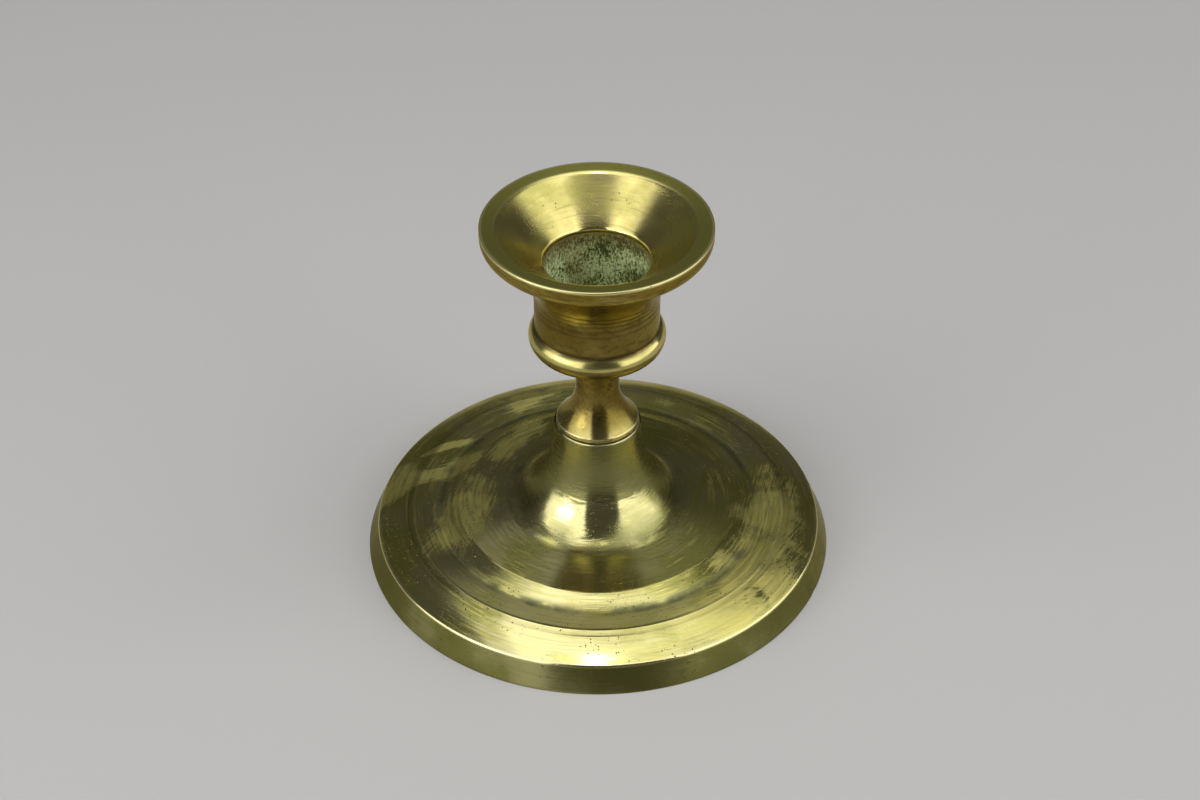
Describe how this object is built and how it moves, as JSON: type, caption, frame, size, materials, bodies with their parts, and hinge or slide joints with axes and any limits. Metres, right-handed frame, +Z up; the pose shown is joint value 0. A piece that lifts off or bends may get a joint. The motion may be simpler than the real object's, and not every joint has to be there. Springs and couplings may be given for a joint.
{
  "type": "candlestick",
  "caption": "Low turned brass candlestick with a wide stepped foot, a short stem and a flared candle cup, held together by a screw from below.",
  "frame": {"origin": "on the table under the middle of the foot", "axes": "+Z up along the turning axis, towards the candle; -Y faces the picture's viewer; the screw's slot lies along X"},
  "size_m": [0.102, 0.102, 0.0821],
  "materials": {
    "foot_brass": "old polish with patchy olive tarnish",
    "cup_brass": "old polish, verdigris film inside the socket",
    "washer_brass": "dull, unpolished",
    "screw_brass": "dull, unpolished"
  },
  "bodies": {
    "foot": {"foot": "foot_brass", "washer": "washer_brass"},
    "screw": {"joining_screw": "screw_brass"},
    "cup": {"candle_cup": "cup_brass"}
  },
  "joints": [
    {"name": "screw_turn", "type": "hinge", "parent": "foot", "child": "screw", "pos_m": [0, 0, 0.0194], "axis": [0, 0, -1], "range_deg": [0, 2880]},
    {"name": "cup_lift", "type": "slide", "parent": "foot", "child": "cup", "axis": [0, 0, 1], "range_m": [0, 0.008]}
  ],
  "couplings": [
    {"joint": "screw_turn", "follows": "cup_lift", "rad_per_m": 6283.2}
  ]
}
